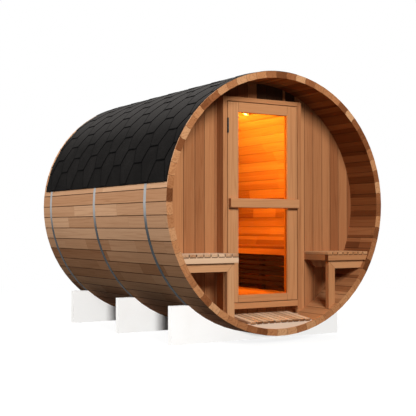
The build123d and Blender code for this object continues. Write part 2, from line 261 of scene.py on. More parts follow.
def grown_wood(graph, palettes, inside, tone, fibre_space, end_cut, cut_space, dull, joint):
    """Colour, roughness and relief of cedar from its tone and the places of its fibres."""
    fibre = graph.noise(fibre_space, 260.0, 4.0, 0.65)
    figure = graph.noise(fibre_space, 16.0, 2.0, 0.5, 0.4)
    lines = (figure * 9.0).fraction()
    late = graph.span((lines - 0.5).absolute(), 0.28, 0.5)
    cloud = graph.noise(fibre_space, 5.0, 2.0)
    spread = (tone + (cloud - 0.5) * 0.32 + (fibre - 0.5) * 0.14).clamped()
    shade = graph.ramp(spread, *zip(TONE_STOPS, palettes[0]))
    if len(palettes) > 1:
        shade = graph.mix(inside, shade, graph.ramp(spread, *zip(TONE_STOPS, palettes[1])))
    shade = graph.mix(late * 0.32, shade, (0.62, 0.50, 0.42), "MULTIPLY")
    shade = graph.mix((fibre - 0.35).clamped() * 0.5, shade, (0.60, 0.50, 0.43), "MULTIPLY")
    rings = (graph.noise(cut_space, 9.0, 1.0, 0.5, 0.2) * 16.0).fraction()
    cut = graph.mix(graph.span(rings, 0.55, 1.0) * 0.45, shade, (0.55, 0.42, 0.34), "MULTIPLY")
    shade = graph.mix(end_cut, shade, cut)
    shade = graph.mix(dull, shade, GREY_CEDAR)
    shade = graph.mix(joint, shade, (0.055, 0.026, 0.014))
    relief = fibre * 0.5 - late * 0.3 + graph.noise(cut_space, 900.0, 2.0) * 0.25
    normal = graph.bump(relief, 0.0006, 0.55)
    return shade, 0.58 + fibre * 0.16 + dull * 0.1, normal


def stave_count(graph, x, height, radius):
    """Staves counted up from the barrel's right side, along the curve of their beads."""
    level = (radius - MIDDLE_RADIUS) / (STAVE_THICKNESS / 2 - BEAD_SHOULDER)
    bead = (1 - level * level).clamped() * (BEAD_RISE * STAVES / (2 * math.pi * BARREL_RADIUS))
    angle = height.math("ARCTAN2", x) * (STAVES / (2 * math.pi)) + STAVES - bead
    stave = angle.floor()
    return stave - (stave > (STAVES - 0.5)) * STAVES, angle.fraction()


def stave_tone(graph, stave, block, z, in_porch, in_cabin):
    """The tone of each stave and length: calmer in the porch, where painted shade darkens it high up,
    and lighter high up in the cabin, which is painted light from the cabin's lamp.
    """
    tone = graph.chance(stave, 5.0) * 0.38 + graph.chance(stave, block, 17.0) * 0.42
    # Painted shade: in the porch the staves are darker high up and lighter low down.
    porch_shaded_level = 0.66 - graph.span(z, AXIS - 0.35, AXIS - 0.75) * 0.26
    tone = tone + in_porch * (porch_shaded_level + (tone - MEAN_TONE) * 0.25 - tone)
    # Painted light: in the cabin the staves are lighter high up, near the lamp.
    lit = 0.64 - graph.span(z, AXIS - 0.1, AXIS + 0.45) * 0.44
    return tone + in_cabin * (lit + (tone - MEAN_TONE) * 0.9 - tone)


def stave_wood():
    """Staves: each has its own tone and is finger-jointed from shorter lengths; painted light and shade
    follow their height.
    """
    graph = Graph("stave_cedar")
    _, x, y, z = graph.place()
    height = z - AXIS
    radius = (x * x + height * height).math("SQRT")
    inner = radius < MIDDLE_RADIUS
    outside = radius > MIDDLE_RADIUS
    in_porch = inner * (y < PORCH_END)
    in_cabin = inner * (y > PORCH_END)
    normal = graph.node("ShaderNodeTexCoord", output=1)
    graph.node("ShaderNodeSeparateXYZ", inputs={0: normal})
    facing = Socket(graph, graph.last.outputs[1])
    end_cut = facing.absolute() > END_FACING
    along = 1 - end_cut

    stave, across = stave_count(graph, x, height, radius)
    length = 0.3 + graph.chance(stave, 11.0) * 0.45
    place = (y + graph.chance(stave, 3.0) * 2.0) / length
    joined = graph.chance(stave, 29.0) < 0.72
    block = place.floor() * joined

    tone = stave_tone(graph, stave, block, z, in_porch, in_cabin)
    heart = (across > (graph.chance(stave, 61.0) * 0.5 + 0.25)) - 0.5
    tone = tone + heart * (graph.chance(stave, 67.0) - 0.5) * inner * 0.55
    tone = tone + end_cut * (graph.chance(stave, 41.0) * 0.8 + 0.06 - tone)
    # Outside, the staves are lighter below 0.75 m, and painted light makes the rows just under the roof
    # lighter, as lit from above.
    tone = tone - outside * along * graph.span(z, 0.75, 0.5) * 0.14
    tone = tone - outside * along * graph.span(z, AXIS - 0.35, AXIS) * 0.22

    shift = graph.chance(stave, block, 2.0) * 4.0
    fibre_space = graph.vector(across * 0.086 + shift, y * 0.022 + shift, radius + shift)
    cut_space = graph.vector(across * 0.086 + shift, y, radius)
    patch = graph.noise(graph.vector(x, y * 0.3, z), 2.6, 3.0)
    low = graph.span(z, 0.95, 0.3)
    dull = (low * 0.26 + 0.03) * graph.span(patch, 0.3, 0.7) * outside * along

    edge = (across - 0.5).absolute()
    butt = joined * graph.span((place.fraction() - 0.5).absolute(), 0.4982, 0.5) * along * 0.45
    side_joint = graph.span(edge, 0.450, 0.480) * (0.9 - inner * 0.5) * along
    end_joint = graph.span(edge, 0.478, 0.495) * 0.7 * end_cut
    joint = side_joint.most(butt).most(end_joint)

    palettes = (OUTDOOR_CEDAR, PORCH_CEDAR)
    inside = (1 - outside).most(end_cut)
    shade, roughness, relief = grown_wood(
        graph, palettes, inside, tone, fibre_space, end_cut, cut_space, dull, joint
    )
    # Painted shade: the porch's upper inside is darker and redder, because its ceiling is in shade.
    porch_ceiling_shade = in_porch * graph.span(z, AXIS - 0.35, AXIS + 0.1) * along
    shade = graph.mix(porch_ceiling_shade, shade, (0.80, 0.68, 0.54), "MULTIPLY")
    # Painted shade: the outside of the staves darkens towards the bottom of the barrel, where shade
    # falls.
    underside_shade = outside * graph.span(z, 0.42, 0.19) * along
    shade = graph.mix(underside_shade, shade, (0.28, 0.21, 0.17), "MULTIPLY")
    return graph.finish(
        Base_Color=shade, Roughness=roughness, Normal=relief, Specular_IOR_Level=STAVE_SHINE
    )


def board_wood(name, palette, lift=0.0, spread=1.0, end_tone=0.18):
    """Boards and battens: the tone and the direction of the grain are stored on each piece's faces."""
    graph = Graph(name)
    whole, *_ = graph.place()
    key = graph.node("ShaderNodeAttribute", {"attribute_name": "tone"}, output=2)
    lengthwise = graph.node("ShaderNodeAttribute", {"attribute_name": "lengthwise"}, output=1)
    vector = "ShaderNodeVectorMath"
    along = graph.node(vector, {"operation": "DOT_PRODUCT"}, {0: whole, 1: lengthwise}, 1)
    run = graph.node(vector, {"operation": "SCALE"}, {0: lengthwise, 3: along * -0.978})
    squeezed = graph.node(vector, {"operation": "ADD"}, {0: whole, 1: run})
    offset = graph.vector(key * 37.0, key * 19.0, key * 53.0)
    fibre_space = graph.node(vector, {"operation": "ADD"}, {0: squeezed, 1: offset})
    cut_space = graph.node(vector, {"operation": "ADD"}, {0: whole, 1: offset})
    normal = graph.node("ShaderNodeTexCoord", output=1)
    facing = graph.node(vector, {"operation": "DOT_PRODUCT"}, {0: normal, 1: lengthwise}, 1)
    end_cut = facing.absolute() > END_FACING
    tone = (key - 0.5) * spread + 0.5 + lift + end_cut * end_tone
    spots = graph.node(
        "ShaderNodeTexVoronoi", {"voronoi_dimensions": "3D"}, {"Vector": cut_space, "Scale": 3.2}
    )
    rare = graph.node("ShaderNodeSeparateColor", inputs={0: Socket(graph, graph.last.outputs[1])})
    knot = graph.span(spots, 0.040, 0.018) * (rare > 0.9) * 0.75
    joint_and_shade = graph.node("ShaderNodeAttribute", {"attribute_name": "joint_and_shade"}, output=2)
    # Dark knots, dark board joints, painted shade in seams, gaps and under slats, and the dark boards
    # over the door.
    dark = knot.most(joint_and_shade).most(graph.span(key, 1.0, 1.4) * 0.85)
    shade, roughness, relief = grown_wood(
        graph, (palette,), 0.0, tone, fibre_space, end_cut, cut_space, 0.0, dark
    )
    return graph.finish(
        Base_Color=shade, Roughness=roughness, Normal=relief, Specular_IOR_Level=SAWN_SHINE
    )


def felt():
    """Bitumen shingles: black mineral granules, each tab a shade of its own, with painted shadow along
    the tabs' edges and a painted sheen towards the roof's top.
    """
    graph = Graph("granule_felt")
    whole, *_, z = graph.place()
    key = graph.node("ShaderNodeAttribute", {"attribute_name": "tone"}, output=2)
    rim = graph.node("ShaderNodeAttribute", {"attribute_name": "rim"}, output=2)
    grains = graph.noise(whole, 900.0, 2.0, 0.7)
    grit = graph.noise(whole, 330.0, 3.0, 0.6)
    cloud = graph.noise(whole, 7.0, 3.0)
    level = (grains * 0.5 + grit * 0.3 + cloud * 0.2 + (key - 0.5) * 0.05).clamped()
    shade = graph.ramp(
        level,
        (0.30, (0.003, 0.0028, 0.0027)),
        (0.50, (0.0085, 0.0078, 0.0074)),
        (0.66, (0.021, 0.0193, 0.0186)),
        (0.80, (0.07, 0.067, 0.066)),
    )
    # Painted sheen: the felt is lighter towards the top of the roof.
    shade = graph.mix(graph.span(z, AXIS + 0.4, AXIS + 0.9) * 0.9, shade, (0.068, 0.064, 0.062))
    # Painted shadow: a sheet's cut edges and the margin along them, nearly black.
    shade = graph.mix(rim, shade, (0.0008, 0.0008, 0.0008))
    relief = graph.bump(grains + grit * 0.6, 0.0012, 0.8)
    return graph.finish(
        Base_Color=shade, Roughness=0.86 - grains * 0.1, Normal=relief, Specular_IOR_Level=FELT_SHINE
    )


def band_steel():
    """Galvanised steel: brushed and faintly spangled, with a painted dark reflection below the barrel's
    middle.
    """
    graph = Graph("band_steel")
    whole, _, y, z = graph.place()
    brushed = graph.noise(graph.vector(0.0, y, 0.0), 1400.0, 3.0, 0.7)
    spangle = graph.node("ShaderNodeTexVoronoi", {}, {"Vector": whole, "Scale": 90.0})
    dull = graph.span(graph.noise(whole, 9.0, 4.0, 0.6), 0.45, 0.7)
    shade = graph.mix(brushed * 0.4, (0.44, 0.44, 0.44), (0.28, 0.28, 0.285))
    shade = graph.mix(spangle * 0.3, shade, (0.50, 0.50, 0.51))
    shade = graph.mix(dull * 0.5, shade, (0.24, 0.235, 0.23))
    # Painted reflection: below the barrel's middle the steel is darker and less metallic, as the dark
    # ground seen in it.
    dark_reflection_shade = graph.span(z, AXIS + 0.02, AXIS - 0.22)
    shade = graph.mix(dark_reflection_shade * 0.95, shade, (0.034, 0.044, 0.052))
    relief = graph.bump(brushed, 0.00008, 0.5)
    return graph.finish(
        Base_Color=shade, Roughness=0.5 + dull * 0.2 + brushed * 0.08, Normal=relief,
        Metallic=0.25 - dark_reflection_shade * 0.2, Specular_IOR_Level=0.15,
    )


def pale_board(name, light, streak, worn):
    """Pale board with faint grain and worn patches, and painted shade from a face attribute."""
    graph = Graph(name)
    whole, x, y, z = graph.place()
    fibre = graph.noise(graph.vector(x * 0.05, y, z), 160.0, 4.0, 0.6)
    cloud = graph.noise(whole, 4.0, 3.0)
    shade = graph.mix(fibre * 0.3, light, streak)
    shade = graph.mix(graph.span(cloud, 0.5, 0.8) * 0.25, shade, worn)
    joint_and_shade = graph.node("ShaderNodeAttribute", {"attribute_name": "joint_and_shade"}, output=2)
    # Painted shade where the slats shade the board's top edge.
    shade = graph.mix(joint_and_shade, shade, (0.16, 0.07, 0.03))
    relief = graph.bump(fibre, 0.0004, 0.5)
    return graph.finish(Base_Color=shade, Roughness=0.55 + fibre * 0.15, Normal=relief)


def dark_metal():
    """Black hinge metal with worn, lighter patches."""
    graph = Graph("hinge_metal")
    whole, *_ = graph.place()
    wear = graph.span(graph.noise(whole, 60.0, 4.0, 0.7), 0.5, 0.75)
    shade = graph.mix(wear, (0.022, 0.021, 0.020), (0.085, 0.08, 0.075))
    relief = graph.bump(graph.noise(whole, 500.0, 2.0), 0.0002, 0.5)
    return graph.finish(Base_Color=shade, Roughness=0.42 + wear * 0.2, Metallic=0.6, Normal=relief)


def lamp_base_plastic():
    """Brown plastic with a fine moulded texture."""
    graph = Graph("lamp_base_plastic")
    whole, *_ = graph.place()
    pebble = graph.noise(whole, 700.0, 2.0)
    shade = graph.mix(pebble * 0.5, (0.30, 0.20, 0.12), (0.24, 0.15, 0.085))
    relief = graph.bump(pebble, 0.0002, 0.5)
    return graph.finish(Base_Color=shade, Roughness=0.4 + pebble * 0.15, Normal=relief)


def lamp_opal():
    """Opal glass, lit from inside by a small bulb behind its middle."""
    graph = Graph("lamp_opal")
    whole, *_ = graph.place()
    low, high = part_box("cabin_lamp_glass")
    middle = tuple((low + high) / 2)
    away = graph.node("ShaderNodeVectorMath", {"operation": "DISTANCE"}, {0: whole, 1: middle}, 1)
    bulb = graph.span(away, 0.018, 0.006)
    cloud = graph.noise(whole, 30.0, 2.0)
    dim = graph.mix(cloud, (0.045, 0.027, 0.018), (0.035, 0.02, 0.013))
    glow = graph.mix(bulb, dim, (1.0, 0.95, 0.92))
    return graph.finish(
        Base_Color=(0.8, 0.6, 0.4), Roughness=0.25 + cloud * 0.1,
        Emission_Color=glow, Emission_Strength=30.0,
    )


def clear_glass():
    """The door's pane: bronze-tinted glass, clearest when seen square, with light smears."""
    graph = Graph("clear_glass")
    whole, *_ = graph.place()
    smear = graph.span(graph.noise(whole, 3.0, 4.0, 0.65), 0.5, 0.8)
    clear = graph.node("ShaderNodeBsdfTransparent", inputs={0: (0.93, 0.69, 0.30, 1.0)})
    gloss = graph.node(
        "ShaderNodeBsdfPrincipled",
        inputs={"Base Color": (0.9, 0.9, 0.9, 1.0), "Roughness": 0.03, "Metallic": 1.0},
    )
    mirror = graph.node("ShaderNodeFresnel", inputs={"IOR": 1.45})
    shine = (mirror * mirror * (0.7 + smear * 0.3)).clamped()
    both = graph.node("ShaderNodeMixShader", inputs={0: shine, 1: clear, 2: gloss})
    graph.node("ShaderNodeOutputMaterial", inputs={0: both})
    return graph.material


def merged_solids(bm):
    """Merge the corners of each closed solid in a copy of a node, one solid at a time."""
    open_edges = set()
    faces = []
    for face in list(bm.faces):
        faces.append(face)
        places = [tuple(round(value, 5) for value in vert.co) for vert in face.verts]
        for pair in zip(places, places[1:] + places[:1]):
            open_edges ^= {frozenset(pair)}
        if not open_edges:
            corners = list({vert for member in faces for vert in member.verts})
            bmesh.ops.remove_doubles(bm, verts=corners, dist=1e-5)
            faces = []


def node_copy(*names):
    """A bmesh copy of some CAD nodes, with whole flat faces instead of triangles."""
    bm = bmesh.new()
    for name in names:
        single = bmesh.new()
        single.from_mesh(nodes[name].data)
        merged_solids(single)
        bmesh.ops.dissolve_limit(
            single, angle_limit=math.radians(1), verts=single.verts, edges=single.edges,
            delimit={"NORMAL"},
        )
        append(bm, single)
    return bm


def append(bm, other):
    """Move the contents of one bmesh into another."""
    carrier = bpy.data.meshes.new("carrier")
    other.to_mesh(carrier)
    other.free()
    bm.from_mesh(carrier)
    bpy.data.meshes.remove(carrier)


def outer_edges(bm):
    """The edges at which sawn pieces stand out."""
    return [
        edge for edge in bm.edges
        if edge.is_manifold and edge.is_convex and edge.calc_face_angle() > SHARP
    ]


def ease(bm, width, edges=None):
    """Round the outer edges of sawn pieces, or only the given ones, and give the faces that makes."""
    eased = bmesh.ops.bevel(
        bm, geom=edges or outer_edges(bm), offset=width, segments=2, profile=0.5, affect="EDGES",
        material=-1, clamp_overlap=True,
    )
    return eased["faces"]


def islands(bm):
    """Groups of faces that hang together."""
    waiting = set(bm.faces)
    while waiting:
        reached = {waiting.pop()}
        front = list(reached)
        while front:
            face = front.pop()
            for edge in face.edges:
                for other in edge.link_faces:
                    if other in waiting:
                        waiting.discard(other)
                        reached.add(other)
                        front.append(other)
        yield sorted(reached, key=lambda face: face.index)


def box_round(faces):
    """The corners of the box round some faces."""
    places = [vert.co for face in faces for vert in face.verts]
    low = [min(place[axis] for place in places) for axis in range(3)]
    high = [max(place[axis] for place in places) for axis in range(3)]
    return low, high


def store_seams(bm, joint_and_shade, eased, reach, gap):
    """Paint shade on eased edges that touch another piece, and on faces that look at one across a
    narrow gap.
    """
    groups = list(islands(bm))
    boxes = [box_round(faces) for faces in groups]
    for own, faces in enumerate(groups):
        for face in faces:
            if face not in eased and not gap:
                continue
            face.normal_update()
            probe = face.calc_center_median() + face.normal * (0.0 if face in eased else gap)
            margin = reach if face in eased else 0.0
            for other, (low, high) in enumerate(boxes):
                inside = (low[i] - margin < probe[i] < high[i] + margin for i in range(3))
                if other != own and all(inside):
                    face[joint_and_shade] = SEAM if face in eased else GAP_SHADE


def store_grain(bm, tone_of):
    """Store on each piece's faces its tone and the direction of its grain."""
    tone_layer = bm.faces.layers.float.new("tone")
    grain_layer = bm.faces.layers.float_vector.new("lengthwise")
    bm.faces.index_update()
    for faces in sorted(islands(bm), key=lambda group: group[0].index):
        low, high = map(Vector, box_round(faces))
        size = high - low
        longest = max(range(3), key=lambda axis: size[axis])
        grain = Vector([1.0 if axis == longest else 0.0 for axis in range(3)])
        tone = tone_of((low + high) / 2)
        for face in faces:
            face[tone_layer] = tone
            face[grain_layer] = grain


def scattered(low, high, seed):
    """A tone between two values that depends on a piece's place."""

    def tone_of(middle):
        wave = math.sin(middle.x * 127.1 + middle.y * 311.7 + middle.z * 74.7 + seed) * 43758.5453
        return low + (high - low) * (wave - math.floor(wave))

    return tone_of


def add_piece(name, bm, material, body="barrel", replaces=()):
    """Turn a bmesh into a piece that rides on a body."""
    mesh = bpy.data.meshes.new(name)
    bm.to_mesh(mesh)
    bm.free()
    mesh.materials.append(material)
    piece = bpy.data.objects.new(name, mesh)
    scene.collection.objects.link(piece)
    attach(piece, body)
    if replaces:
        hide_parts(*replaces)
    return piece


def timber(name, sources, material, tone_of, body="barrel", width=0.002, gap=0.0, cuts=()):
    """Sawn pieces of some nodes, with eased edges, painted shade in their seams and gaps, and a grain
    of their own.
    """
    bm = node_copy(*sources)
    joint_and_shade = bm.faces.layers.float.new("joint_and_shade")
    for plane in cuts:
        cut_sheet(bm, *plane)
    eased = set(ease(bm, width))
    store_seams(bm, joint_and_shade, eased, width * 1.5, gap)
    store_grain(bm, tone_of)
    return add_piece(name, bm, material, body, sources)


def under_slats(name, source, slats, material, tone_of):
    """A batten whose top edge is dark where the slats on it throw their shade."""
    bm = node_copy(source)
    joint_and_shade = bm.faces.layers.float.new("joint_and_shade")
    ease(bm, 0.001)
    above = node_copy(slats)
    spans = sorted((low[0], high[0]) for low, high in map(box_round, islands(above)))
    above.free()
    for edges in spans:
        for edge in edges:
            cut_sheet(bm, (edge, 0, 0), (1, 0, 0))
    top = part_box(source)[1].z - SHADE_DEPTH
    cut_sheet(bm, (0, 0, top), (0, 0, 1))
    for face in bm.faces:
        middle = face.calc_center_median()
        covered = any(low < middle.x < high for low, high in spans)
        face[joint_and_shade] = 0.8 if covered and middle.z > top else 0.0
    store_grain(bm, tone_of)
    return add_piece(name, bm, material, "barrel", [source])


def keep_between(bm, axis, low, high):
    """Cut a solid down to what lies between two planes, and close it."""
    normal = Vector([1.0 if index == axis else 0.0 for index in range(3)])
    for value, outer in ((low, False), (high, True)):
        everything = bm.verts[:] + bm.edges[:] + bm.faces[:]
        bmesh.ops.bisect_plane(
            bm, geom=everything, dist=1e-6, plane_co=normal * value, plane_no=normal,
            clear_outer=outer, clear_inner=not outer,
        )
        rim = [edge for edge in bm.edges if edge.is_boundary]
        if rim:
            bmesh.ops.holes_fill(bm, edges=rim, sides=0)
    bmesh.ops.recalc_face_normals(bm, faces=bm.faces)


def boards(source, edges, gap, width):
    """Vertical boards cut from a wall node at the given places."""
    bm = bmesh.new()
    low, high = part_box(source)
    for start, end in zip(edges, edges[1:]):
        board = node_copy(source)
        keep_between(board, 0, max(start + gap / 2, low.x), min(end - gap / 2, high.x))
        if board.faces:
            append(bm, board)
        else:
            board.free()
    upright = [
        edge for edge in outer_edges(bm)
        if abs(edge.verts[0].co.z - edge.verts[1].co.z) > edge.calc_length() * 0.99
    ]
    joint_and_shade = bm.faces.layers.float.new("joint_and_shade")
    for face in ease(bm, width, upright):
        face[joint_and_shade] = BOARD_SEAM
    return bm


def dark_between(spans, tone_of):
    """The given tones, but dark for pieces whose middle lies in one of the spans."""

    def dark_or_not(middle):
        dark = any(low < middle.x < high for low, high in spans)
        return DARK_TONE if dark else tone_of(middle)

    return dark_or_not


def walls(material):
    """The end walls of vertical boards, with dark ones over the door."""
    over = dark_between(DARK_OVER_DOOR, scattered(0.45, 0.75, 3.0))
    for place, edges, tone_of in (
        ("left", LEFT_EDGES, scattered(0.35, 0.65, 1.0)),
        ("right", RIGHT_EDGES, scattered(0.3, 0.75, 2.0)),
        ("over_door", OVER_EDGES, over),
        ("below_door", OVER_EDGES, scattered(0.5, 0.7, 4.0)),
    ):
        source = f"front_wall_{place}"
        bm = boards(source, edges, BOARD_GAP, BOARD_EASE)
        store_grain(bm, tone_of)
        add_piece(f"{source}_boards", bm, material, replaces=[source])
    rear_edges = [REAR_START + REAR_PITCH * index for index in range(REAR_BOARDS + 1)]
    bm = boards("rear_wall", rear_edges, BOARD_GAP, BOARD_EASE)
    store_grain(bm, scattered(0.2, 0.75, 4.0))
    add_piece("rear_wall_boards", bm, material, replaces=["rear_wall"])


# Shingles
ROOF_EDGE = math.radians(8.0)
COURSES = 10
EXPOSURE = 0.112
STARTER = 0.034
RELIEF = 0.00245
TAPER = 0.05
TAPER_FOOT = 0.35
FELT_HEIGHT = 0.0064
FELT_SHEET = 0.00265
FELT_SHADOW_MARGIN = 0.0095
TAB_PITCH = 0.32
TAB_FOOT = 0.113
TAB_SHOULDER = 0.207
TAB_LAP = 0.009
TAB_PHASE = 0.308
CAP_PIECE = 0.16
CAP_LAP = 0.05
CAP_HEIGHT = 0.0072


def bend_over_barrel(bm, side):
    """Bend flat sheets over the barrel, pressed down in front: x is arc length, z is height."""
    for vert in bm.verts:
        angle = vert.co.x / BARREL_RADIUS
        pressed = min(1.0, TAPER_FOOT + (1 - TAPER_FOOT) * (vert.co.y - ROOF_ENDS[0]) / TAPER)
        radius = BASE + vert.co.z * pressed
        vert.co.x = side * radius * math.cos(angle)
        vert.co.z = AXIS + radius * math.sin(angle)


def cut_sheet(bm, place, normal, **sides):
    """Cut a flat sheet along a plane."""
    everything = bm.verts[:] + bm.edges[:] + bm.faces[:]
    bmesh.ops.bisect_plane(bm, geom=everything, dist=1e-6, plane_co=place, plane_no=normal, **sides)


def sheet(outline, start, ends, reach=EXPOSURE):
    """A thin sheet from an outline, highest at its foot, cut into strips that bend and to the ends."""
    bm = bmesh.new()
    face = bm.faces.new([bm.verts.new((x, y, 0.0)) for x, y in outline])
    if face.normal.z < 0:
        bmesh.ops.reverse_faces(bm, faces=[face])
    strip = EXPOSURE / 4
    for index in range(1, 1 + int((max(x for x, _ in outline) - start) / strip)):
        cut_sheet(bm, (start + index * strip, 0, 0), (1, 0, 0))
    cut_sheet(bm, (0, ends[0] + TAPER, 0), (0, 1, 0))
    cut_sheet(bm, (0, ends[0], 0), (0, 1, 0), clear_inner=True)
    cut_sheet(bm, (0, ends[1], 0), (0, 1, 0), clear_outer=True)
    raised = set()
    if bm.faces:
        extruded = bmesh.ops.extrude_face_region(bm, geom=bm.faces[:])["geom"]
        raised = {item for item in extruded if isinstance(item, bmesh.types.BMVert)}
    for vert in bm.verts:
        top = FELT_HEIGHT - (vert.co.x - start) * RELIEF / EXPOSURE
        vert.co.z = top if vert in raised else max(top - FELT_SHEET, -0.0004)
    bmesh.ops.recalc_face_normals(bm, faces=bm.faces)
    mark_edge_shadow(bm, 0, start, reach)
    return bm


def mark_edge_shadow(bm, axis, foot, reach=EXPOSURE):
    """Store which faces are a sheet's cut edges, or the margin along them, as painted shadow, darkest
    at its foot.
    """
    rim = bm.faces.layers.float.new("rim")
    for face in bm.faces:
        face.normal_update()
        face[rim] = 1.0 if abs(face.normal.z) < 0.5 else 0.0
    upper = [face for face in bm.faces if face.normal.z > 0.5]
    if upper:
        for face in bmesh.ops.inset_region(bm, faces=upper, thickness=FELT_SHADOW_MARGIN)["faces"]:
            height = face.calc_center_median()[axis] - foot
            face[rim] = 1.0 if height < FELT_SHADOW_MARGIN else 0.85 if height < reach else 0.0


def tab_outline(start, middle, longer=0.0):
    """One hexagonal tab: a flat foot, sloping sides, and its hidden upper part."""
    shoulder = TAB_SHOULDER / 2
    foot = TAB_FOOT / 2 - (TAB_SHOULDER - TAB_FOOT) / 2 * longer / EXPOSURE
    hidden = shoulder + 0.004
    head = start + 2 * EXPOSURE + TAB_LAP
    low, mid = start - longer, start + EXPOSURE
    half = [(low, foot), (mid, shoulder), (mid + 0.004, hidden), (head, hidden)]
    return [(x, middle + y) for x, y in half] + [(x, middle - y) for x, y in reversed(half)]


def shingle_side(side, name, ends, material):
    """All courses of one side of the roof."""
    first = ROOF_EDGE * BARREL_RADIUS
    crown = math.pi / 2 * BARREL_RADIUS
    starter_head = first + STARTER + 2 * EXPOSURE
    bm = bmesh.new()
    strip = [(first, ends[0]), (starter_head, ends[0]), (starter_head, ends[1]), (first, ends[1])]
    append(bm, sheet(strip, first + STARTER - EXPOSURE, ends))
    for course in range(COURSES):
        start = first + STARTER + course * EXPOSURE
        phase = TAB_PHASE if course % 2 == 0 else TAB_PHASE - TAB_PITCH / 2
        for tab in range(-1, 8):
            middle = FRONT + phase + tab * TAB_PITCH
            longer = STARTER - 0.001 if course == 0 else 0.0
            outline = [(min(x, crown - 0.001), y) for x, y in tab_outline(start, middle, longer)]
            append(bm, sheet(outline, start - longer, ends, EXPOSURE + longer))
    bend_over_barrel(bm, side)
    bmesh.ops.recalc_face_normals(bm, faces=bm.faces)
    store_grain(bm, scattered(0.0, 1.0, 9.0))
    return add_piece(name, bm, material, replaces=[f"roof_{name.split('_')[0]}"])


def ridge_pieces(ends, material):
    """Lapped pieces bent over the crown."""
    half = cad_ridge_half()
    crown = math.pi / 2 * BARREL_RADIUS
    count = round((ends[1] - ends[0]) / CAP_PIECE)
    piece = (ends[1] - ends[0]) / count
    bm = bmesh.new()
    for index in range(count):
        low = ends[0] + index * piece
        high = min(low + piece + CAP_LAP, ends[1])
        cap = bmesh.new()
        bmesh.ops.create_grid(cap, x_segments=10, y_segments=1, size=0.5)
        bmesh.ops.scale(cap, vec=(2 * half, high - low, 1), verts=cap.verts)
        bmesh.ops.translate(cap, vec=(crown, (low + high) / 2, 0), verts=cap.verts)
        cut_sheet(cap, (0, ends[0] + TAPER, 0), (0, 1, 0))
        extruded = bmesh.ops.extrude_face_region(cap, geom=cap.faces[:])["geom"]
        raised = {item for item in extruded if isinstance(item, bmesh.types.BMVert)}
        for vert in cap.verts:
            top = CAP_HEIGHT - (vert.co.y - low) * RELIEF / piece
            vert.co.z = top if vert in raised else top - FELT_SHEET
        bmesh.ops.recalc_face_normals(cap, faces=cap.faces)
        mark_edge_shadow(cap, 1, low)
        append(bm, cap)
    bend_over_barrel(bm, 1)
    bmesh.ops.recalc_face_normals(bm, faces=bm.faces)
    store_grain(bm, scattered(0.0, 1.0, 5.0))
    return add_piece("ridge_shingles", bm, material, replaces=["ridge_cap"])


def cad_ridge_half():
    """Half of the ridge cap's width, over the curve of the crown."""
    low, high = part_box("ridge_cap")
    return math.asin((high.x - low.x) / 2 / BASE) * BARREL_RADIUS


def dress(material, *names):
    """Give CAD nodes a finish."""
    for name in names:
        mesh = nodes[name].data
        mesh.materials.clear()
        mesh.materials.append(material)


MATERIALS = {
    "stave": stave_wood(),
    "wall": board_wood("wall_cedar", PORCH_CEDAR),
    "frame": board_wood("frame_cedar", PORCH_CEDAR, -0.04, 0.8),
    "leaf": board_wood("leaf_cedar", PORCH_CEDAR, -0.1, 0.5),
    "bench": board_wood("bench_cedar", BENCH_CEDAR, -0.1, 0.9, 0.5),
    "shaded_bench": board_wood("shaded_bench_cedar", PORCH_CEDAR, -0.2, 0.9, 0.4),
    "deck": board_wood("deck_cedar", BENCH_CEDAR, 0.08, 0.9, 0.6),
    "cabin": board_wood("cabin_cedar", PORCH_CEDAR, -0.1, 0.9),
    "skirt": board_wood("shaded_skirt_cedar", SHADED_SKIRT_CEDAR),
    "felt": felt(),
    "steel": band_steel(),
    "cradle": pale_board("cradle_board", (0.94, 0.935, 0.92), (0.87, 0.85, 0.82), (0.82, 0.79, 0.75)),
    "bearer": pale_board("bearer_board", (0.74, 0.56, 0.43), (0.58, 0.38, 0.25), (0.52, 0.33, 0.21)),
    "hinge": dark_metal(),
    "lamp_base": lamp_base_plastic(),
    "lamp_glass": lamp_opal(),
    "glass": clear_glass(),
}

roof_low, roof_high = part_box("roof_left")
ROOF_ENDS = (roof_low.y, roof_high.y)

dress(MATERIALS["stave"], *(name for name in nodes if name.startswith("staves_")))
dress(MATERIALS["steel"], "band_front", "band_middle", "band_rear")
dress(MATERIALS["cradle"], "cradle_front", "cradle_middle", "cradle_rear")
dress(MATERIALS["hinge"], "door_hinges_fixed", "door_hinges_moving")
dress(MATERIALS["lamp_base"], "cabin_lamp_base")
dress(MATERIALS["lamp_glass"], "cabin_lamp_glass")
dress(MATERIALS["glass"], "door_glass")
walls(MATERIALS["wall"])
shingle_side(-1, "left_shingles", ROOF_ENDS, MATERIALS["felt"])
shingle_side(1, "right_shingles", ROOF_ENDS, MATERIALS["felt"])
ridge_pieces(ROOF_ENDS, MATERIALS["felt"])

timber("door_frame_timber", ["door_jamb_left", "door_jamb_right", "door_head", "door_sill"],
       MATERIALS["frame"], scattered(0.25, 0.6, 1.0))
pane_low, pane_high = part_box("door_glass")
LEAF_CUTS = [((0, 0, pane_low.z), (0, 0, 1)), ((0, 0, pane_high.z), (0, 0, 1))]
timber("door_leaf_timber", ["door_stiles", "door_rails"],
       MATERIALS["leaf"], scattered(0.3, 0.55, 2.0), "door", 0.0035, cuts=LEAF_CUTS)
timber("door_handle_bar", ["door_handle"],
       MATERIALS["leaf"], scattered(0.3, 0.4, 3.0), "door")
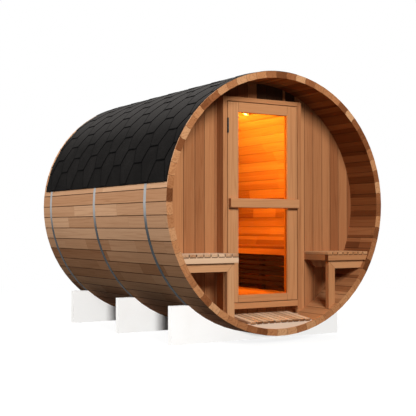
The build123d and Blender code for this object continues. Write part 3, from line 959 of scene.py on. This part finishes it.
# Painted shade: the right bench and the legs of both benches are the darker, shaded copy of the bench
# wood, and the right bench's rails and legs are darker still.
for side, seat, extra_shade in (("left", "bench", 0.0), ("right", "shaded_bench", 0.25)):
    timber(f"{side}_bench_seat", [f"{side}_bench_slats"],
           MATERIALS[seat], scattered(-0.1, 0.25, 5.0), gap=0.012)
    under_slats(f"{side}_bench_rails", f"{side}_bench_battens", f"{side}_bench_slats",
                MATERIALS[seat], scattered(0.35 + extra_shade, 0.5 + extra_shade, 5.0))
    timber(f"{side}_bench_legs", [f"{side}_bench_frame"],
           MATERIALS["shaded_bench"], scattered(0.25 + extra_shade, 0.4 + extra_shade, 6.0),
           width=0.0009)
timber("porch_duckboard", ["porch_deck_slats"],
       MATERIALS["deck"], scattered(0.0, 0.4, 7.0), gap=0.012)
timber("porch_duckboard_bearer", ["porch_deck_bearer_rear"],
       MATERIALS["deck"], scattered(0.4, 0.7, 7.0))
under_slats("porch_duckboard_front", "porch_deck_bearer_front", "porch_deck_slats",
            MATERIALS["bearer"], scattered(0.4, 0.6, 8.0))
timber("cabin_floor_timber", ["cabin_floor_boards", "cabin_floor_joists"],
       MATERIALS["cabin"], scattered(0.2, 0.8, 8.0))
timber("cabin_bench_top", ["cabin_bench_seat"],
       MATERIALS["cabin"], scattered(0.75, 0.95, 9.0))
timber("cabin_bench_front", ["cabin_bench_fascia"],
       MATERIALS["cabin"], scattered(0.4, 0.55, 9.0))
# Painted shade: the bench's skirt, posts and bearers in a near-black palette.
timber("cabin_bench_support", ["cabin_bench_skirt", "cabin_bench_posts", "cabin_bench_bearers"],
       MATERIALS["skirt"], scattered(0.2, 0.8, 9.0))


def studio_white(name):
    """A floor that shows white to the camera and in gloss, and still takes the object's shadow."""
    graph = Graph(name)
    graph.node("ShaderNodeLightPath")
    rays = graph.last
    camera, glossy, through = (Socket(graph, rays.outputs[index]) for index in (0, 3, 6))
    seen = camera.most(glossy).most(through)
    _, x, y, _ = graph.place()
    far = graph.span((x * x + y * y).math("SQRT"), FLOOR_NEAR, FLOOR_FAR)
    white = "ShaderNodeEmission"
    plain = graph.node("ShaderNodeBsdfDiffuse", inputs={0: (0.1, 0.1, 0.1, 1.0)})
    lit = graph.node("ShaderNodeBsdfDiffuse", inputs={0: (0.2, 0.2, 0.2, 1.0)})
    glow = graph.node(white, inputs={0: (1.0, 1.0, 1.0, 1.0), 1: 0.86})
    near = graph.node("ShaderNodeAddShader", inputs={0: lit, 1: glow})
    bright = graph.node(white, inputs={0: (1.0, 1.0, 1.0, 1.0), 1: 1.0})
    shown = graph.node("ShaderNodeMixShader", inputs={0: far, 1: near, 2: bright})
    both = graph.node("ShaderNodeMixShader", inputs={0: seen, 1: plain, 2: shown})
    graph.node("ShaderNodeOutputMaterial", inputs={0: both})
    return graph.material


def stage():
    """A pale floor that runs out to the horizon."""
    bm = bmesh.new()
    bmesh.ops.create_grid(bm, x_segments=2, y_segments=2, size=60.0)
    mesh = bpy.data.meshes.new("floor")
    bm.to_mesh(mesh)
    bm.free()
    mesh.materials.append(studio_white("floor_white"))
    floor = bpy.data.objects.new("floor", mesh)
    scene.collection.objects.link(floor)


def world():
    """Even soft light, white where the camera sees it."""
    studio = bpy.data.worlds.new("studio")
    studio.use_nodes = True
    tree = studio.node_tree
    tree.nodes.clear()
    rays = tree.nodes.new("ShaderNodeLightPath")
    soft = tree.nodes.new("ShaderNodeBackground")
    soft.inputs[0].default_value = (1.0, 0.985, 0.965, 1.0)
    soft.inputs[1].default_value = 0.08
    white = tree.nodes.new("ShaderNodeBackground")
    white.inputs[1].default_value = 1.0
    white.inputs[0].default_value = (1.0, 1.0, 1.0, 1.0)
    seen = rays.outputs["Is Camera Ray"]
    for kind in ("Is Glossy Ray", "Is Transmission Ray"):
        either = tree.nodes.new("ShaderNodeMath")
        either.operation = "MAXIMUM"
        tree.links.new(seen, either.inputs[0])
        tree.links.new(rays.outputs[kind], either.inputs[1])
        seen = either.outputs[0]
    mix = tree.nodes.new("ShaderNodeMixShader")
    tree.links.new(seen, mix.inputs[0])
    tree.links.new(soft.outputs[0], mix.inputs[1])
    tree.links.new(white.outputs[0], mix.inputs[2])
    out = tree.nodes.new("ShaderNodeOutputWorld")
    tree.links.new(mix.outputs[0], out.inputs[0])
    scene.world = studio


def lamp(name, place, target, size, energy, shade, kind="AREA"):
    """A soft light at a place, aimed at a target."""
    light = bpy.data.lights.new(name, kind)
    light.energy = energy
    light.color = shade
    if kind == "AREA":
        light.shape = "DISK"
        light.size = size
    else:
        light.shadow_soft_size = size
    holder = bpy.data.objects.new(name, light)
    holder.location = place
    aim = Vector(target) - Vector(place)
    holder.rotation_euler = aim.to_track_quat("-Z", "Y").to_euler()
    scene.collection.objects.link(holder)
    return holder


def lights():
    """Soft lights from the front left, the left and behind, and the cabin's own warm light."""
    key = lamp("front_light", (-1.5, -7.9, 4.75), (0, -1.05, 0.95), 3.0, 700.0, (1.0, 0.985, 0.965))
    lamp("side_light", (-6.2, 0.3, 6.0), (0, 0, 1.0), 3.0, 520.0, (1.0, 0.99, 0.975))
    lamp("back_light", (5.5, 5.5, 4.5), (0, 0, 1.0), 3.0, 400.0, (1.0, 0.99, 0.975))
    fill = lamp("cradle_fill", (-5.6, -11.5, 1.2), (0, 0, 0.2), 1.5, 1500.0, (1.0, 1.0, 1.0))
    fill.light_linking.receiver_collection = bpy.data.collections.new("cradles")
    fill.light_linking.blocker_collection = bpy.data.collections.new("no_blockers")
    apart = bpy.data.collections.new("all_but_cradles")
    for name in ("cradle_front", "cradle_middle", "cradle_rear"):
        fill.light_linking.receiver_collection.objects.link(nodes[name])
        apart.objects.link(nodes[name])
    for entry in apart.collection_objects:
        entry.light_linking.link_state = "EXCLUDE"
    key.light_linking.receiver_collection = apart
    lamp("cabin_glow", (-0.1, -0.1, AXIS + 0.6), (0, 0, 0), 0.06, 69.0, AMBER, "POINT")
    lamp("cabin_fill", (-0.45, 0.1, AXIS + 0.1), (0, 0, 0), 0.2, 1.0, AMBER, "POINT")
    lamp("bench_glow", (0.7, -0.15, AXIS - 0.45), (0, 0, 0), 0.05, 0.3, (1.0, 0.5, 0.2), "POINT")


def camera():
    lens = bpy.data.cameras.new("camera")
    lens.lens = CAMERA_LENS
    lens.sensor_width = CAMERA_SENSOR
    lens.clip_end = 200.0
    holder = bpy.data.objects.new("camera", lens)
    holder.location = CAMERA_PLACE
    holder.rotation_euler = (math.radians(90.0 + CAMERA_PITCH), 0.0, math.radians(-CAMERA_YAW))
    scene.collection.objects.link(holder)
    scene.camera = holder


stage()
world()
lights()
camera()
scene.view_settings.view_transform = "Standard"
